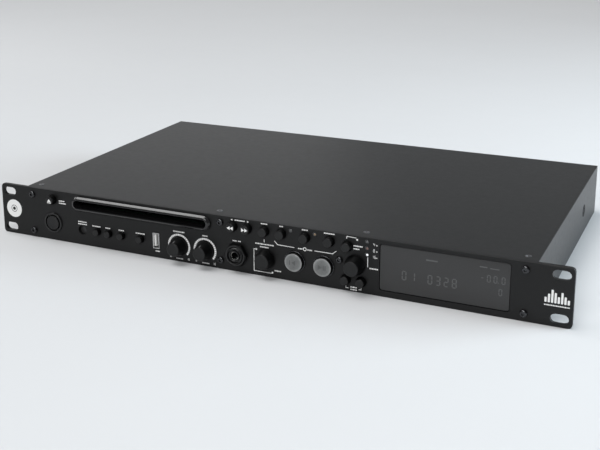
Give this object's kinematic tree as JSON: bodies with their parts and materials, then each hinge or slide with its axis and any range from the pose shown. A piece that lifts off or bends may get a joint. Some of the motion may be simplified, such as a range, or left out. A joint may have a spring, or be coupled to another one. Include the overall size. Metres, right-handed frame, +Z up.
{
  "type": "rack disc player",
  "caption": "Black one-unit rack player with a slot for discs, a USB socket, display, knobs, round buttons and a microphone jack.",
  "frame": {"origin": "centre of the bounding box at the rest surface, midway between the knob faces and the tips of the rear sockets", "axes": "+X to the right along the front panel as seen from the front, +Y from the front panel to the rear, +Z up"},
  "size_m": [0.4826, 0.2842, 0.044],
  "materials": {
    "bezel_black": "glossy",
    "board_green": "lacquered board",
    "button_black": "matt",
    "chassis_steel": "plain zinc-plated sheet",
    "drive_steel": "plated sheet",
    "felt_black": "felt",
    "knob_grey": "matt, slightly soft",
    "lens_smoke": "clear smoke-tinted",
    "light_clear": "clear",
    "lit_grey": "translucent grey",
    "module_grey": "matt",
    "motor_metal": "plain metal",
    "panel_black": "satin black paint",
    "plastic_black": "matt",
    "plastic_white": "matt",
    "roller_rubber": "matt rubber",
    "screw_black": "black oxide",
    "sheet_black": "satin black paint",
    "socket_steel": "plated"
  },
  "bodies": {
    "case": {"chassis_base": "chassis_steel", "cue_ring": "socket_steel", "display_module": "module_grey", "display_window": "lens_smoke", "drive_case": "drive_steel", "drive_cover": "drive_steel", "felt_lip_lower": "felt_black", "felt_lip_upper": "felt_black", "front_circuit_board": "board_green", "front_panel": "panel_black", "loop_light_guide": "light_clear", "main_circuit_board": "board_green", "mains_inlet": "plastic_black", "mic_jack": "plastic_black", "mic_jack_nut": "plastic_black", "output_jacks": "plastic_black", "panel_screw_1": "screw_black", "panel_screw_2": "screw_black", "panel_screw_3": "screw_black", "panel_screw_4": "screw_black", "panel_screw_5": "screw_black", "panel_screw_6": "screw_black", "panel_screw_7": "screw_black", "pitch_light_guide": "light_clear", "play_ring": "socket_steel", "power_supply_board": "board_green", "power_switch_housing": "plastic_black", "sensor_window": "lens_smoke", "sled_rail_left": "motor_metal", "sled_rail_right": "motor_metal", "slot_bezel": "bezel_black", "spindle_motor": "motor_metal", "top_cover": "sheet_black", "usb_shell": "socket_steel", "usb_tongue": "plastic_white"},
    "eject_button": {"eject_button": "button_black"},
    "source_button": {"source_button": "button_black"},
    "time_button": {"time_button": "button_black"},
    "mode_button": {"mode_button": "button_black"},
    "repeat_button": {"repeat_button": "button_black"},
    "search_back_button": {"search_back_button": "button_black"},
    "search_forward_button": {"search_forward_button": "button_black"},
    "bank_button": {"bank_button": "button_black"},
    "loop_in_button": {"loop_in_button": "button_black"},
    "loop_out_button": {"loop_out_button": "button_black"},
    "reloop_button": {"reloop_button": "button_black"},
    "menu_button": {"menu_button": "button_black"},
    "pitch_bend_down_button": {"pitch_bend_down_button": "button_black"},
    "pitch_bend_up_button": {"pitch_bend_up_button": "button_black"},
    "cue_button": {"cue_button": "lit_grey"},
    "play_button": {"play_button": "lit_grey"},
    "power_button": {"power_button": "button_black"},
    "master_knob": {"master_knob": "knob_grey"},
    "mic_knob": {"mic_knob": "knob_grey"},
    "pitch_knob": {"pitch_knob": "knob_grey"},
    "track_encoder_shaft": {"track_encoder_shaft": "motor_metal"},
    "track_knob": {"track_knob": "knob_grey"},
    "turntable": {"turntable": "plastic_black"},
    "feed_roller": {"feed_roller": "roller_rubber"},
    "laser_sled": {"laser_sled": "plastic_black"}
  },
  "joints": [
    {"name": "eject_button_press", "type": "slide", "parent": "case", "child": "eject_button", "axis": [0, 1, 0], "range_m": [0, 0.001], "stiffness_N_per_m": 300, "springref_m": -0.0005},
    {"name": "source_button_press", "type": "slide", "parent": "case", "child": "source_button", "axis": [0, 1, 0], "range_m": [0, 0.001], "stiffness_N_per_m": 300, "springref_m": -0.0005},
    {"name": "time_button_press", "type": "slide", "parent": "case", "child": "time_button", "axis": [0, 1, 0], "range_m": [0, 0.001], "stiffness_N_per_m": 300, "springref_m": -0.0005},
    {"name": "mode_button_press", "type": "slide", "parent": "case", "child": "mode_button", "axis": [0, 1, 0], "range_m": [0, 0.001], "stiffness_N_per_m": 300, "springref_m": -0.0005},
    {"name": "repeat_button_press", "type": "slide", "parent": "case", "child": "repeat_button", "axis": [0, 1, 0], "range_m": [0, 0.001], "stiffness_N_per_m": 300, "springref_m": -0.0005},
    {"name": "search_back_button_press", "type": "slide", "parent": "case", "child": "search_back_button", "axis": [0, 1, 0], "range_m": [0, 0.001], "stiffness_N_per_m": 300, "springref_m": -0.0005},
    {"name": "search_forward_button_press", "type": "slide", "parent": "case", "child": "search_forward_button", "axis": [0, 1, 0], "range_m": [0, 0.001], "stiffness_N_per_m": 300, "springref_m": -0.0005},
    {"name": "bank_button_press", "type": "slide", "parent": "case", "child": "bank_button", "axis": [0, 1, 0], "range_m": [0, 0.001], "stiffness_N_per_m": 300, "springref_m": -0.0005},
    {"name": "loop_in_button_press", "type": "slide", "parent": "case", "child": "loop_in_button", "axis": [0, 1, 0], "range_m": [0, 0.001], "stiffness_N_per_m": 300, "springref_m": -0.0005},
    {"name": "loop_out_button_press", "type": "slide", "parent": "case", "child": "loop_out_button", "axis": [0, 1, 0], "range_m": [0, 0.001], "stiffness_N_per_m": 300, "springref_m": -0.0005},
    {"name": "reloop_button_press", "type": "slide", "parent": "case", "child": "reloop_button", "axis": [0, 1, 0], "range_m": [0, 0.001], "stiffness_N_per_m": 300, "springref_m": -0.0005},
    {"name": "menu_button_press", "type": "slide", "parent": "case", "child": "menu_button", "axis": [0, 1, 0], "range_m": [0, 0.001], "stiffness_N_per_m": 300, "springref_m": -0.0005},
    {"name": "pitch_bend_down_button_press", "type": "slide", "parent": "case", "child": "pitch_bend_down_button", "axis": [0, 1, 0], "range_m": [0, 0.001], "stiffness_N_per_m": 300, "springref_m": -0.0005},
    {"name": "pitch_bend_up_button_press", "type": "slide", "parent": "case", "child": "pitch_bend_up_button", "axis": [0, 1, 0], "range_m": [0, 0.001], "stiffness_N_per_m": 300, "springref_m": -0.0005},
    {"name": "cue_button_press", "type": "slide", "parent": "case", "child": "cue_button", "axis": [0, 1, 0], "range_m": [0, 0.001], "stiffness_N_per_m": 400, "springref_m": -0.0005},
    {"name": "play_button_press", "type": "slide", "parent": "case", "child": "play_button", "axis": [0, 1, 0], "range_m": [0, 0.001], "stiffness_N_per_m": 400, "springref_m": -0.0005},
    {"name": "power_button_press", "type": "slide", "parent": "case", "child": "power_button", "axis": [0, 1, 0], "range_m": [0, 0.002], "stiffness_N_per_m": 500, "springref_m": -0.001},
    {"name": "master_knob_turn", "type": "hinge", "parent": "case", "child": "master_knob", "pos_m": [-0.0648, -0.13165, 0.0132], "axis": [0, 1, 0], "range_deg": [-150, 150]},
    {"name": "mic_knob_turn", "type": "hinge", "parent": "case", "child": "mic_knob", "pos_m": [-0.04119, -0.13165, 0.0132], "axis": [0, 1, 0], "range_deg": [-150, 150]},
    {"name": "pitch_knob_turn", "type": "hinge", "parent": "case", "child": "pitch_knob", "pos_m": [0.0852, -0.13165, 0.0216], "axis": [0, 1, 0], "continuous": true},
    {"name": "track_push", "type": "slide", "parent": "case", "child": "track_encoder_shaft", "axis": [0, 1, 0], "range_m": [0, 0.0005], "stiffness_N_per_m": 600, "springref_m": -0.0005},
    {"name": "track_knob_turn", "type": "hinge", "parent": "track_encoder_shaft", "child": "track_knob", "pos_m": [0.012, -0.13165, 0.01452], "axis": [0, 1, 0], "continuous": true},
    {"name": "turntable_turn", "type": "hinge", "parent": "case", "child": "turntable", "pos_m": [-0.101, -0.02665, 0.03539], "axis": [0, 0, 1], "continuous": true},
    {"name": "feed_roller_turn", "type": "hinge", "parent": "case", "child": "feed_roller", "pos_m": [-0.101, -0.09715, 0.03129], "axis": [1, 0, 0], "continuous": true},
    {"name": "laser_sled_slide", "type": "slide", "parent": "case", "child": "laser_sled", "axis": [0, 1, 0], "range_m": [0, 0.033]}
  ]
}
